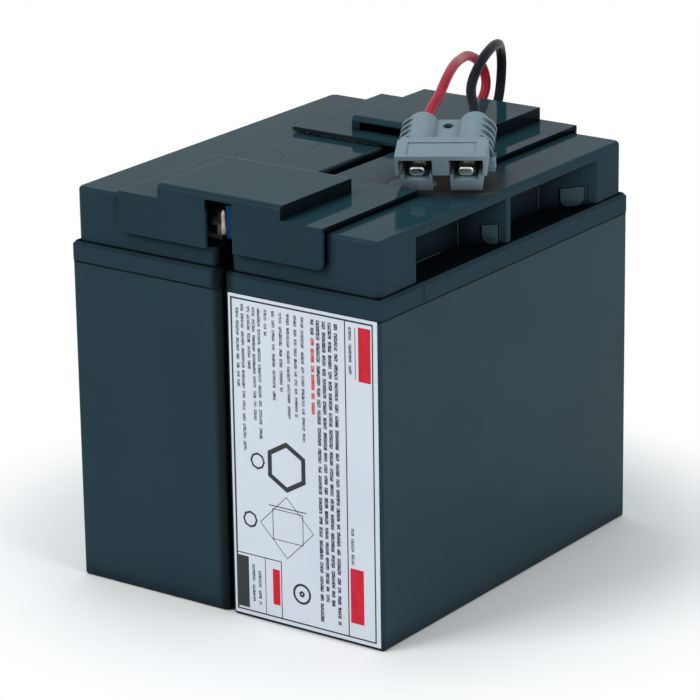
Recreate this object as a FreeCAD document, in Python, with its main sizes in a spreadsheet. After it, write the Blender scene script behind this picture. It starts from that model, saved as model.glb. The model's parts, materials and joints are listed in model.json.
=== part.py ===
# Replaceable battery cartridge for an uninterruptible power supply: two sealed lead-acid
# batteries side by side, two plastic terminal covers, a series fuse at the front and two
# flexible leads from the rear to a two-pole power connector that lies on top.
# Millimetres. X runs across the pair, Y from the front (-) to the rear (+), Z up.
# The origin is the middle of the bottom.
import FreeCAD, Part
import math
import os
import re
import Sketcher

vec = FreeCAD.Vector
doc = FreeCAD.newDocument("battery_cartridge")

# Driving dimensions
sizes = {
    # One battery: its side with the terminals stands at x = 0, its outer side at x = battery_width
    "battery_width": 76,
    "battery_length": 181,
    "battery_height": 167,
    "pair_gap": 0.2,
    "lid_height": 30.6,
    "container_inset": 0.4,
    "container_wall": 2.4,
    "container_floor": 3,
    "container_inner_corner": 3.2,
    "container_outer_corner": 1.3,
    "container_foot": 1.2,
    "partition_wall": 1.6,
    "flange_height": 8,
    "flange_inner_corner": 4.6,
    "flange_outer_corner": 2.2,
    "flange_slope": 1.4,
    "lid_inset": 2,
    "lid_inner_inset": 2.9,
    "lid_corner": 3.5,
    "lid_edge": 1.6,
    "lid_skin": 3,
    # Recesses in the lid
    "terminal_bay_width": 22,
    "terminal_bay_length": 26,
    "terminal_bay_depth": 14.5,
    "bush_radius": 4.2,
    "grip_front": 63.4,
    "grip_rear": 68.5,
    "grip_roof": 4.1,
    "grip_depth": 15.5,
    "grip_front_turn": 11.7,
    "grip_rear_turn": 20.5,
    "grip_rib": 3,
    "grip_middle": 1.8,
    "head_space": 5,
    # Vents
    "vent_pitch": 27,
    "vent_radius": 10,
    "vent_thickness": 2.4,
    "vent_clearance": 0.15,
    "valve_well_radius": 6.5,
    "valve_well_depth": 7,
    "valve_neck_radius": 3.4,
    "valve_neck_bore": 1.4,
    "valve_cap_radius": 4.8,
    "valve_cap_height": 5.4,
    "valve_cap_top": 1.2,
    "valve_clearance": 0.1,
    # Cells
    "cell_clearance": 0.5,
    "strap_room": 27.4,
    "strap_width": 10,
    "strap_length": 18,
    "strap_thickness": 6,
    "strap_near": 20,
    "strap_far": 54,
    "strap_link_radius": 2.8,
    "link_clearance": 0.1,
    # Battery terminals, bolts and nuts
    "terminal_inset": 17.5,
    "tab_near": 7.8,
    "tab_thickness": 2,
    "tab_width": 12,
    "tab_height": 13.3,
    "tab_corner": 2,
    "foot_length": 11,
    "foot_thickness": 2,
    "bolt_height": 7.5,
    "bolt_radius": 2.5,
    "bolt_clearance": 0.25,
    "bolt_end": 1.4,
    "head_corner_radius": 4.6,
    "head_thickness": 3.4,
    "nut_thickness": 3.8,
    "washer_radius": 5,
    "washer_thickness": 0.8,
    # Fuse
    "link_thickness": 1.6,
    "link_width": 10,
    "link_drop": 11.2,
    "element_width": 8,
    "element_thickness": 0.8,
    "fuse_length": 10.6,
    "fuse_height": 14,
    "fuse_cap": 1.3,
    "fuse_play": 0.1,
    "fuse_edge": 0.8,
    # Ring lugs
    "lug_thickness": 1.2,
    "lug_radius": 4.6,
    "lug_neck": 5.6,
    "barrel_start": 6.2,
    "barrel_length": 5.8,
    "barrel_radius": 2.9,
    "barrel_bore": 1.7,
    "barrel_tilt": 16,
    # Terminal covers
    "cover_half_width": 50,
    "cover_sheet": 1.5,
    "cover_lift": 0.9,
    "cover_overhang": 0.8,
    "flap_drop": 14.5,
    "flap_corner": 3,
    "front_cover_end": 26.5,
    "front_box_half_width": 30,
    "front_box_end": 43.7,
    "box_height": 5.8,
    "box_edge": 2.4,
    "window_half_width": 6.6,
    "window_rise": 5.5,
    "rear_cover_start": 26,
    "rear_box_left": 26,
    "rear_box_right": 33,
    "rear_box_start": 35.3,
    "rear_box_end": 89.3,
    "rear_window_left": 22,
    "rear_window_right": 28,
    "rear_window_height": 3.6,
    "lead_slot_half_width": 10,
    # Tape
    "pair_tape_width": 20,
    "pair_tape_margin": 18.2,
    "pair_tape_pitch": 60,
    "cover_tape_length": 38,
    "cover_tape_width": 6,
    "cover_tape_inner": 6,
    "cover_tape_margin": 1,
    # Front label
    "label_left": 3.1,
    "label_right_margin": 1.7,
    "label_bottom": 1.5,
    "label_top_margin": 0.4,
    "label_thickness": 0.25,
    # Power connector, in its own frame: mating face at y = 0, top at z = 0
    "housing_half_width": 18.25,
    "housing_length": 41,
    "housing_height": 15.5,
    "hood_length": 12.6,
    "hood_plate": 1.9,
    "hood_wall": 1.3,
    "hood_drop": 8.8,
    "hood_edge": 0.6,
    "hood_joint": 1,
    "panel_half_width": 13.7,
    "panel_start": 1.2,
    "panel_end": 11.3,
    "panel_depth": 0.35,
    "middle_half_width": 3.3,
    "middle_drop": 8.7,
    "tray_near": 3.6,
    "tray_far": 16.1,
    "tray_wall": 1.2,
    "tray_floor": 10.6,
    "tray_rim": 8.7,
    "tray_cut_width": 5,
    "tray_cut_height": 1.3,
    "block_half_width": 17.2,
    "block_top": 0.6,
    "block_length": 3.9,
    "ear_start": 11,
    "ear_end": 14.5,
    "ear_reach": 20.6,
    "ear_root": 16.8,
    "ear_notch": 1.5,
    "ear_top": 8.6,
    "ear_height": 4.8,
    "channel_offset": 9.8,
    "channel_height": 7.75,
    "shroud_offset": 10.6,
    "shroud_radius": 6.6,
    "shroud_round": 4.2,
    "shroud_bore": 2.9,
    "mouth_width": 10.1,
    "mouth_top": 2.5,
    "mouth_depth": 16,
    "web_half_width": 6.5,
    "web_thickness": 5,
    "web_end": 38.5,
    "web_hole_place": 33.4,
    "web_hole_radius": 2.1,
    "pilot_hole_place": 20,
    "pilot_hole_offset": 3.4,
    "pilot_hole_radius": 1,
    "ridge_offset": 13,
    "ridge_level": 8.2,
    "ridge_radius": 6.4,
    "ridge_width": 1.3,
    "ridge_pitch": 4.6,
    "ridge_start": 15.5,
    "ridge_count": 5,
    "tongue_width": 6.4,
    "tongue_top": 7.8,
    "tongue_thickness": 1.8,
    "tip_start": 2.4,
    "tip_end": 5.6,
    "tip_top": 6.3,
    "tip_height": 4.2,
    "tip_round": 1.9,
    "tip_edge": 0.8,
    "crimp_radius": 2.7,
    "crimp_bore": 1.7,
    "crimp_end": 35.5,
    "crimp_overlap": 3,
    "spring_width": 7,
    "spring_thickness": 0.6,
    "spring_start": 6,
    "spring_end": 12.8,
    "connector_x": 56.5,
    "connector_y": -20.8,
    "connector_rise": 15.7,
    "connector_yaw": 28,
    "connector_lean": -1.5,
    "connector_tilt": 15,
    # Leads
    "lead_radius": 2.1,
}
cell_count = 6

sheet = doc.addObject("Spreadsheet::Sheet", "Sizes")
for row, (alias, value) in enumerate(sizes.items(), start=1):
    sheet.set(f"A{row}", alias)
    sheet.set(f"B{row}", str(value))
    sheet.setAlias(f"B{row}", alias)
doc.recompute()


def cell(text):
    """Turn the size names in an expression into references to the sheet."""
    return re.sub(r"\b([a-z]\w+)", r"Sizes.\1", text)


# Places that several pieces share
inner_width = "(battery_width - 2 * container_inset - 2 * container_wall)"
inner_length = "(battery_length - 2 * container_inset - 2 * container_wall)"
compartment = f"(({inner_length} - {cell_count - 1} * partition_wall) / {cell_count})"
compartment_pitch = f"({compartment} + partition_wall)"
container_height = "(battery_height - lid_height)"
flange_top = f"({container_height} + flange_height)"
bay_floor = "(battery_height - terminal_bay_depth)"
bolt_place = "(battery_length / 2 - terminal_inset)"
bolt_level = f"({bay_floor} + bolt_height)"
stack_top = f"({container_height} - strap_room)"
vent_seat = "(battery_height - vent_thickness)"
gas_height = f"({vent_seat} - valve_well_depth - lid_skin - {container_height})"
fuse_half = "(tab_near - link_thickness - fuse_play)"
cover_under = "(battery_height + cover_lift)"
cover_top = "(battery_height + cover_lift + cover_sheet)"
flap_bottom = "(battery_height - flap_drop)"
window_top = "(battery_height + window_rise)"
cover_face = "(battery_length / 2 + cover_overhang)"


def new_body(label):
    body = doc.addObject("PartDesign::Body", label)
    body.Label = label
    return body


def origin_feature(body, role):
    return [item for item in body.Origin.OriginFeatures if item.Role == role][0]


def new_sketch(body, name, role, offset="0"):
    sketch = body.newObject("Sketcher::SketchObject", name)
    sketch.AttachmentSupport = [(origin_feature(body, role), "")]
    sketch.MapMode = "FlatFace"
    sketch.setExpression("AttachmentOffset.Base.z", cell(offset))
    sketch.Visibility = False
    return sketch


def dimension(sketch, kind, geometry, point, expression, start=0.0):
    index = sketch.addConstraint(Sketcher.Constraint(kind, -1, 1, geometry, point, start))
    sketch.setExpression(f"Constraints[{index}]", cell(expression))


def add_outline(sketch, corners):
    """A closed outline of straight sides; each corner is a pair of expressions."""
    first = sketch.GeometryCount
    count = len(corners)
    ring = [vec(10 * math.cos(2 * math.pi * i / count), 10 * math.sin(2 * math.pi * i / count), 0)
            for i in range(count)]
    for i in range(count):
        sketch.addGeometry(Part.LineSegment(ring[i], ring[(i + 1) % count]), False)
    for i in range(count):
        follower = first + (i + 1) % count
        sketch.addConstraint(Sketcher.Constraint("Coincident", first + i, 2, follower, 1))
    for i, (across, along) in enumerate(corners):
        dimension(sketch, "DistanceX", first + i, 1, across, ring[i].x)
        dimension(sketch, "DistanceY", first + i, 1, along, ring[i].y)


def add_rectangle(sketch, left, right, low, high):
    add_outline(sketch, [(left, low), (right, low), (right, high), (left, high)])


def add_circle(sketch, across, along, radius):
    index = sketch.addGeometry(Part.Circle(vec(1, 1, 0), vec(0, 0, 1), 5), False)
    dimension(sketch, "DistanceX", index, 3, across, 1.0)
    dimension(sketch, "DistanceY", index, 3, along, 1.0)
    place = sketch.addConstraint(Sketcher.Constraint("Radius", index, 5))
    sketch.setExpression(f"Constraints[{place}]", cell(radius))


def feature(body, kind, name, sketch, length, reverse=False):
    item = body.newObject(f"PartDesign::{kind}", name)
    item.Profile = sketch
    item.setExpression("Length", cell(length))
    item.Reversed = reverse
    return item


def pad(body, name, sketch, length, reverse=False):
    return feature(body, "Pad", name, sketch, length, reverse)


def pocket(body, name, sketch, length, reverse=False):
    return feature(body, "Pocket", name, sketch, length, reverse)


def row(body, name, original, axis, length, count):
    pattern = body.newObject("PartDesign::LinearPattern", name)
    pattern.Originals = [original]
    pattern.Direction = (origin_feature(body, axis), [""])
    pattern.setExpression("Length", cell(length))
    pattern.Occurrences = count
    body.Tip = pattern
    return pattern


def dress(body, kind, name, amount, test):
    """Fillet or chamfer the edges that pass a test, given as a function of the edge."""
    doc.recompute()
    base = body.Tip
    names = [f"Edge{i}" for i, edge in enumerate(base.Shape.Edges, start=1) if test(edge)]
    item = body.newObject(f"PartDesign::{kind}", name)
    item.Base = (base, names)
    item.setExpression("Radius" if kind == "Fillet" else "Size", cell(amount))
    return item


def is_upright(edge):
    box = edge.BoundBox
    return box.ZLength > 1 and box.XLength < 0.01 and box.YLength < 0.01


def is_level(edge, height):
    box = edge.BoundBox
    return abs(box.ZMin - height) < 0.01 and abs(box.ZMax - height) < 0.01


def place_battery(item, side):
    """The left battery is the right one turned half round, so their terminals face."""
    if side == "left":
        item.Placement = FreeCAD.Placement(vec(), FreeCAD.Rotation(vec(0, 0, 1), 180))
        item.setExpression(".Placement.Base.x", cell("-pair_gap / 2"))
    else:
        item.setExpression(".Placement.Base.x", cell("pair_gap / 2"))
    return item


def round_corners(body, name):
    """Round the upright corners, more on the side of the other battery."""
    middle = sizes["battery_width"] / 2
    dress(body, "Fillet", f"{name}_inner_corners", f"{name}_inner_corner",
          lambda edge: is_upright(edge) and edge.BoundBox.XMin < middle)
    dress(body, "Fillet", f"{name}_outer_corners", f"{name}_outer_corner",
          lambda edge: is_upright(edge) and edge.BoundBox.XMin > middle)


def make_container(side):
    body = new_body(f"{side}_container")
    shell = new_sketch(body, "shell", "XY_Plane")
    add_rectangle(shell, "container_inset", "battery_width - container_inset",
                  "container_inset - battery_length / 2", "battery_length / 2 - container_inset")
    pad(body, "walls", shell, container_height)
    round_corners(body, "container")
    dress(body, "Fillet", "foot", "container_foot", lambda edge: is_level(edge, 0))
    room = new_sketch(body, "room", "XY_Plane", container_height)
    add_rectangle(room, "container_inset + container_wall",
                  f"container_inset + container_wall + {inner_width}",
                  f"-{inner_length} / 2", f"{compartment} - {inner_length} / 2")
    cell_room = pocket(body, "compartment", room, f"{container_height} - container_floor")
    row(body, "compartments", cell_room, "Y_Axis", f"{compartment_pitch} * {cell_count - 1}", cell_count)
    for name, across, first, count in (("far", "strap_far", 1, 3), ("near", "strap_near", 2, 2)):
        wall = f"({inner_length} / 2 + partition_wall - {compartment_pitch} * {first})"
        bore = new_sketch(body, f"{name}_bore", "XZ_Plane", f"{wall} + link_clearance")
        add_circle(bore, across, f"{stack_top} + strap_thickness / 2", "strap_link_radius + link_clearance")
        hole = pocket(body, f"{name}_link_hole", bore, "partition_wall + 2 * link_clearance")
        row(body, f"{name}_link_holes", hole, "Y_Axis", f"{compartment_pitch} * {2 * (count - 1)}", count)
    return place_battery(body, side)


def make_lid(side):
    body = new_body(f"{side}_lid")
    half_length = "battery_length / 2"
    rim = new_sketch(body, "rim", "XY_Plane", container_height)
    add_rectangle(rim, "0", "battery_width", f"-{half_length}", half_length)
    pad(body, "flange", rim, "flange_height")
    round_corners(body, "flange")
    level = sizes["battery_height"] - sizes["lid_height"] + sizes["flange_height"]
    dress(body, "Chamfer", "flange_slopes", "flange_slope", lambda edge: is_level(edge, level))
    crown = new_sketch(body, "crown", "XY_Plane", flange_top)
    add_rectangle(crown, "lid_inner_inset", "battery_width - lid_inset",
                  f"lid_inset - {half_length}", f"{half_length} - lid_inset")
    pad(body, "dome", crown, f"battery_height - {flange_top}")
    dress(body, "Fillet", "dome_corners", "lid_corner",
          lambda edge: is_upright(edge) and edge.BoundBox.ZMin > level - 0.1)

    # Bays for the terminals, open to the end face and to the other battery
    bay = new_sketch(body, "bay", "XY_Plane", "battery_height")
    for low, high in ((f"-{half_length} - lid_inset", f"terminal_bay_length - {half_length}"),
                      (f"{half_length} - terminal_bay_length", f"{half_length} + lid_inset")):
        add_rectangle(bay, "-lid_inset", "terminal_bay_width", low, high)
    pocket(body, "terminal_bays", bay, "terminal_bay_depth")
    dress(body, "Fillet", "dome_edges", "lid_edge", lambda edge: is_level(edge, sizes["battery_height"]))

    # Finger grips in the outer side: a deep back wall that turns outwards to the rear end
    outer = "battery_width - lid_inset"
    grip_top = "battery_height - grip_roof"
    grips = new_sketch(body, "grips", "XY_Plane", grip_top)
    for low, high, turn in (("-grip_front", "grip_middle - grip_rib / 2", "grip_front_turn"),
                            ("grip_middle + grip_rib / 2", "grip_rear", "grip_rear_turn")):
        add_outline(grips, [(f"{outer} - grip_depth", low), (f"{outer} + grip_depth", low),
                            (f"{outer} + grip_depth", high), (outer, high),
                            (f"{outer} - grip_depth", f"{high} - {turn}")])
    pocket(body, "grip_cuts", grips, f"{grip_top} - {flange_top}")

    # Head space over the cells, bushes of the terminals, and the vents
    space = new_sketch(body, "space", "XY_Plane", container_height)
    margin = "(container_inset + container_wall)"
    add_rectangle(space, margin, f"battery_width - {margin}", f"{margin} - {half_length}",
                  f"{half_length} - {margin}")
    pocket(body, "head_room", space, "head_space", reverse=True)
    gas = new_sketch(body, "gas", "XY_Plane", container_height)
    add_rectangle(gas, "terminal_bay_width + lid_skin", f"{outer} - grip_depth - lid_skin",
                  f"{margin} + lid_skin - {half_length}", f"{half_length} - {margin} - lid_skin")
    pocket(body, "gas_room", gas, gas_height, reverse=True)
    bush = new_sketch(body, "bushes", "XY_Plane", bay_floor)
    for sign in ("-", ""):
        add_circle(bush, "tab_near + foot_length / 2", f"{sign}{bolt_place}", "bush_radius")
    pocket(body, "bush_holes", bush, f"{bay_floor} - {container_height}")
    first_vent = f"-vent_pitch * {(cell_count - 1) / 2}"
    middle = "battery_width / 2"
    for name, level_of, radii, depth in (
            ("vent_seat", "battery_height", ["vent_radius + vent_clearance"], "vent_thickness"),
            ("valve_well", vent_seat, ["valve_well_radius", "valve_neck_radius"], "valve_well_depth"),
            ("neck_top", vent_seat, ["valve_neck_radius"], "valve_cap_top + valve_clearance * 2"),
            ("neck_bore", vent_seat, ["valve_neck_bore"], "valve_well_depth + 2 * lid_skin")):
        sketch = new_sketch(body, f"{name}_ring", "XY_Plane", level_of)
        for radius in radii:
            add_circle(sketch, middle, first_vent, radius)
        cut = pocket(body, name, sketch, depth)
        row(body, f"{name}s", cut, "Y_Axis", f"vent_pitch * {cell_count - 1}", cell_count)
    return place_battery(body, side)


def make_vent_discs(side):
    body = new_body(f"{side}_vent_discs")
    sketch = new_sketch(body, "disc", "XY_Plane", vent_seat)
    add_circle(sketch, "battery_width / 2", f"-vent_pitch * {(cell_count - 1) / 2}", "vent_radius")
    disc = pad(body, "vent_disc", sketch, "vent_thickness")
    row(body, "vent_discs", disc, "Y_Axis", f"vent_pitch * {cell_count - 1}", cell_count)
    return place_battery(body, side)


def make_valve_caps(side):
    """Rubber cups that close the necks under the vent discs."""
    body = new_body(f"{side}_valve_caps")
    first_vent = f"-vent_pitch * {(cell_count - 1) / 2}"
    outside = new_sketch(body, "outside", "XY_Plane", f"{vent_seat} - valve_clearance")
    add_circle(outside, "battery_width / 2", first_vent, "valve_cap_radius")
    cup = pad(body, "cup", outside, "valve_cap_height", reverse=True)
    row(body, "cups", cup, "Y_Axis", f"vent_pitch * {cell_count - 1}", cell_count)
    inside = new_sketch(body, "inside", "XY_Plane", f"{vent_seat} - valve_clearance - valve_cap_height")
    add_circle(inside, "battery_width / 2", first_vent, "valve_neck_radius + valve_clearance")
    hollow = pocket(body, "hollow", inside, "valve_cap_height - valve_cap_top", reverse=True)
    row(body, "hollows", hollow, "Y_Axis", f"vent_pitch * {cell_count - 1}", cell_count)
    return place_battery(body, side)


def make_plate_stacks(side):
    body = new_body(f"{side}_plate_stacks")
    sketch = new_sketch(body, "stack", "XY_Plane", "container_floor")
    edge = "(container_inset + container_wall + cell_clearance)"
    add_rectangle(sketch, edge, f"battery_width - {edge}", f"cell_clearance - {inner_length} / 2",
                  f"{compartment} - cell_clearance - {inner_length} / 2")
    stack = pad(body, "plate_stack", sketch, f"{stack_top} - container_floor")
    row(body, "plate_stacks", stack, "Y_Axis", f"{compartment_pitch} * {cell_count - 1}", cell_count)
    return place_battery(body, side)


def make_cell_straps(side):
    """Lead straps: five through the partitions and one up to each terminal."""
    body = new_body(f"{side}_cell_straps")
    middle = f"({compartment_pitch} / 2)"
    for name, across, first, count in (("far", "strap_far", 1, 3), ("near", "strap_near", 2, 2)):
        wall = f"{compartment_pitch} * {first} - partition_wall / 2 - {inner_length} / 2"
        bars = new_sketch(body, f"{name}_bars", "XY_Plane", stack_top)
        for sign in ("-", "+"):
            low = f"{wall} {sign} {middle} - strap_length / 2"
            high = f"{wall} {sign} {middle} + strap_length / 2"
            add_rectangle(bars, f"{across} - strap_width / 2", f"{across} + strap_width / 2", low, high)
        bar = pad(body, f"{name}_strap", bars, "strap_thickness")
        row(body, f"{name}_straps", bar, "Y_Axis", f"{compartment_pitch} * {2 * (count - 1)}", count)
        pin = new_sketch(body, f"{name}_pin", "XZ_Plane", f"{middle} - strap_length / 2 - ({wall})")
        add_circle(pin, across, f"{stack_top} + strap_thickness / 2", "strap_link_radius")
        link = pad(body, f"{name}_link", pin, f"{compartment_pitch} - strap_length", reverse=True)
        row(body, f"{name}_links", link, "Y_Axis", f"{compartment_pitch} * {2 * (count - 1)}", count)
    foot = new_sketch(body, "end_bars", "XY_Plane", stack_top)
    post = new_sketch(body, "posts", "XY_Plane", stack_top)
    for sign in (-1, 1):
        place = f"{sign} * ({inner_length} / 2 - {compartment} / 2)"
        add_rectangle(foot, "strap_near - strap_width", "strap_near + strap_width / 2",
                      f"{place} - strap_length / 2", f"{place} + strap_length / 2")
        add_circle(post, "tab_near + foot_length / 2", f"{sign} * {bolt_place}",
                   "bush_radius - link_clearance")
    pad(body, "end_straps", foot, "strap_thickness")
    pad(body, "terminal_posts", post, "strap_room + head_space / 2")
    return place_battery(body, side)


def make_terminal(side, name, sign):
    """An angle of plated brass: a foot on the bay floor and an upright tab with a bolt hole."""
    body = new_body(f"{side}_{name}_terminal")
    low = f"{sign} * {bolt_place} - tab_width / 2"
    high = f"{sign} * {bolt_place} + tab_width / 2"
    tab = new_sketch(body, "tab_face", "YZ_Plane", "tab_near")
    top = f"{bay_floor} + tab_height"
    add_outline(tab, [(low, bay_floor), (high, bay_floor), (high, f"{top} - tab_corner"),
                      (f"{high} - tab_corner", top), (f"{low} + tab_corner", top),
                      (low, f"{top} - tab_corner")])
    add_circle(tab, f"{sign} * {bolt_place}", bolt_level, "bolt_radius + bolt_clearance")
    pad(body, "tab", tab, "tab_thickness")
    foot = new_sketch(body, "foot_face", "XY_Plane", bay_floor)
    add_rectangle(foot, "tab_near", "tab_near + foot_length", low, high)
    pad(body, "foot", foot, "foot_thickness")
    stud = new_sketch(body, "stud_face", "XY_Plane", bay_floor)
    add_circle(stud, "tab_near + foot_length / 2", f"{sign} * {bolt_place}", "bush_radius - link_clearance")
    pad(body, "stud", stud, f"{bay_floor} - {container_height} - head_space / 2", reverse=True)
    return place_battery(body, side)


def primitive(kind, name, expressions, rotation=None):
    item = doc.addObject(f"Part::{kind}", name)
    if rotation is not None:
        item.Placement = FreeCAD.Placement(vec(), rotation)
    for key, expression in expressions.items():
        item.setExpression(key, cell(expression))
    item.Visibility = False
    return item


def at(across, along, up):
    return {".Placement.Base.x": across, ".Placement.Base.y": along, ".Placement.Base.z": up}


def box(name, left, right, front, rear, low, high):
    lengths = {"Length": f"({right}) - ({left})", "Width": f"({rear}) - ({front})",
               "Height": f"({high}) - ({low})"}
    return primitive("Box", name, {**lengths, **at(left, front, low)})


def join(kind, label, base, tool):
    item = doc.addObject(f"Part::{kind}", label)
    item.Base = base
    item.Tool = tool
    item.Label = label
    return item


def group(label, items):
    item = doc.addObject("Part::Compound", label)
    item.Links = items
    item.Label = label
    return item


def across_turn(sign):
    """Turn a piece that is made along Z so that it points away from the middle."""
    return FreeCAD.Rotation(vec(0, 1, 0), 90 * sign)


def make_fasteners(end, along, head_start):
    """Two bolts, washers and nuts across a pair of tabs."""
    bolts, washers, nuts = [], [], []
    outer = "tab_near + tab_thickness + pair_gap / 2"
    for side, sign in (("left", -1), ("right", 1)):
        turn = across_turn(sign)
        name = f"{end}_{side}"
        head = primitive("Prism", f"{name}_head",
                         {"Circumradius": "head_corner_radius", "Height": "head_thickness",
                          **at(f"{sign} * ({head_start})", along, bolt_level)}, turn)
        reach = f"{outer} + washer_thickness + nut_thickness + bolt_end - ({head_start})"
        shank = primitive("Cylinder", f"{name}_shank",
                          {"Radius": "bolt_radius", "Height": reach,
                           **at(f"{sign} * ({head_start})", along, bolt_level)}, turn)
        bolts.append(join("Fuse", f"{name}_bolt", head, shank))
        disc = primitive("Cylinder", f"{name}_disc",
                         {"Radius": "washer_radius", "Height": "washer_thickness",
                          **at(f"{sign} * ({outer})", along, bolt_level)}, turn)
        disc_bore = primitive("Cylinder", f"{name}_disc_bore",
                              {"Radius": "bolt_radius + bolt_clearance", "Height": "washer_thickness",
                               **at(f"{sign} * ({outer})", along, bolt_level)}, turn)
        washers.append(join("Cut", f"{name}_washer", disc, disc_bore))
        hexagon = primitive("Prism", f"{name}_hexagon",
                            {"Circumradius": "head_corner_radius", "Height": "nut_thickness",
                             **at(f"{sign} * ({outer} + washer_thickness)", along, bolt_level)}, turn)
        thread = primitive("Cylinder", f"{name}_thread",
                           {"Radius": "bolt_radius", "Height": "nut_thickness",
                            **at(f"{sign} * ({outer} + washer_thickness)", along, bolt_level)}, turn)
        nuts.append(join("Cut", f"{name}_nut", hexagon, thread))
    return [group(f"{end}_bolts", bolts), group(f"{end}_washers", washers), group(f"{end}_nuts", nuts)]


def make_fuse():
    """A moulded block with a strip inside it; the bolt heads are trapped in its sides."""
    front = f"(-{bolt_place})"
    half = f"({fuse_half} + pair_gap / 2)"
    top = f"({bay_floor} + tab_height)"
    body = new_body("fuse_body")
    side = new_sketch(body, "side", "YZ_Plane", f"-{half}")
    add_rectangle(side, f"{front} - fuse_length / 2", f"{front} + fuse_length / 2",
                  f"{top} + fuse_cap - fuse_height", f"{top} + fuse_cap")
    pad(body, "block", side, f"2 * {half}")
    dress(body, "Fillet", "edges", "fuse_edge", lambda edge: edge.BoundBox.XLength > 1)
    slot = new_sketch(body, "slot", "YZ_Plane", f"-{half}")
    play = "(element_width / 2 + fuse_play)"
    add_rectangle(slot, f"{front} - {play}", f"{front} + {play}",
                  f"{top} - element_thickness - fuse_play", f"{top} + fuse_play")
    pocket(body, "element_slot", slot, f"2 * {half}", reverse=True)
    for name, offset, reverse in (("left", f"-{half}", True), ("right", half, False)):
        seat = new_sketch(body, f"{name}_seat", "YZ_Plane", offset)
        add_circle(seat, front, bolt_level, "head_corner_radius + fuse_play")
        pocket(body, f"{name}_head_seat", seat, "head_thickness", reverse=reverse)

    link = new_body("fuse_link")
    strip = new_sketch(link, "strip", "YZ_Plane", f"-{half}")
    add_rectangle(strip, f"{front} - element_width / 2", f"{front} + element_width / 2",
                  f"{top} - element_thickness", top)
    pad(link, "element", strip, f"2 * {half}")
    for name, offset, reverse in (("left", f"-{half}", True), ("right", half, False)):
        plate = new_sketch(link, f"{name}_plate", "YZ_Plane", offset)
        add_rectangle(plate, f"{front} - link_width / 2", f"{front} + link_width / 2",
                      f"{top} - link_drop", top)
        add_circle(plate, front, bolt_level, "bolt_radius + bolt_clearance")
        pad(link, f"{name}_blade", plate, "link_thickness + fuse_play", reverse=reverse)
    return [body, link]


def make_lug(label, sign):
    """A crimped ring lug on the inner face of a rear tab, its barrel pointing out and up."""
    ring = primitive("Cylinder", f"{label}_ring", {"Radius": "lug_radius", "Height": "lug_thickness"},
                     across_turn(sign))
    neck = primitive("Box", f"{label}_neck",
                     {"Length": "lug_thickness", "Width": "barrel_start + barrel_length / 3",
                      "Height": "lug_neck", ".Placement.Base.z": "-lug_neck / 2",
                      ".Placement.Base.x": "0" if sign > 0 else "-lug_thickness"})
    middle = f"{sign} * (lug_thickness - barrel_radius)"
    along = FreeCAD.Rotation(vec(1, 0, 0), -90)
    barrel = primitive("Cylinder", f"{label}_barrel",
                       {"Radius": "barrel_radius", "Height": "barrel_length",
                        ".Placement.Base.x": middle, ".Placement.Base.y": "barrel_start"}, along)
    plate = join("Fuse", f"{label}_plate", ring, neck)
    solid = join("Fuse", f"{label}_solid", plate, barrel)
    hole = primitive("Cylinder", f"{label}_hole",
                     {"Radius": "bolt_radius + bolt_clearance", "Height": "lug_thickness"},
                     across_turn(sign))
    bore = primitive("Cylinder", f"{label}_bore",
                     {"Radius": "barrel_bore", "Height": "barrel_length * 2 / 3",
                      ".Placement.Base.x": middle,
                      ".Placement.Base.y": "barrel_start + barrel_length / 3"}, along)
    holes = join("Fuse", f"{label}_holes", hole, bore)
    lug = join("Cut", label, solid, holes)
    lug.Placement = FreeCAD.Placement(vec(), FreeCAD.Rotation(vec(1, 0, 0), sizes["barrel_tilt"]))
    inner = f"{sign} * (tab_near + pair_gap / 2 - lug_thickness)"
    for key, expression in at(inner, bolt_place, bolt_level).items():
        lug.setExpression(key, cell(expression))
    return lug


def make_front_cover():
    body = new_body("front_cover")
    sheet_face = new_sketch(body, "plate_face", "XY_Plane", cover_under)
    add_rectangle(sheet_face, "-cover_half_width", "cover_half_width", f"-{cover_face}", "-front_cover_end")
    pad(body, "plate", sheet_face, "cover_sheet")
    flap = new_sketch(body, "flap_face", "XZ_Plane", cover_face)
    add_rectangle(flap, "-cover_half_width", "cover_half_width", flap_bottom, cover_top)
    pad(body, "flap", flap, "cover_sheet", reverse=True)
    low = sizes["battery_height"] - sizes["flap_drop"]
    dress(body, "Fillet", "flap_corners", "flap_corner",
          lambda edge: is_level(edge, low) and edge.BoundBox.XLength < 0.01)
    raised = new_sketch(body, "box_face", "XY_Plane", cover_top)
    add_rectangle(raised, "-front_box_half_width", "front_box_half_width",
                  f"-{cover_face}", "-front_box_end")
    pad(body, "raised_box", raised, "box_height")
    round_box(body, -sizes["battery_length"] / 2 - sizes["cover_overhang"])
    hollow = new_sketch(body, "hollow_face", "XY_Plane", cover_under)
    add_rectangle(hollow, "cover_sheet - front_box_half_width", "front_box_half_width - cover_sheet",
                  f"cover_sheet - {cover_face}", "-front_box_end - cover_sheet")
    pocket(body, "hollow", hollow, "box_height", reverse=True)
    window = new_sketch(body, "window_face", "XZ_Plane", f"{cover_face} + cover_sheet")
    add_rectangle(window, "-window_half_width", "window_half_width",
                  f"{flap_bottom} - cover_sheet", window_top)
    pocket(body, "window", window, "3 * cover_sheet")
    return body


def round_box(body, place):
    """Round the front edge of the raised box's top."""
    top = sizes["battery_height"] + sizes["cover_lift"] + sizes["cover_sheet"] + sizes["box_height"]
    dress(body, "Fillet", "box_edges", "box_edge",
          lambda edge: is_level(edge, top) and edge.BoundBox.YLength < 0.01
          and abs(edge.BoundBox.YMin - place) < 0.01)


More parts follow.
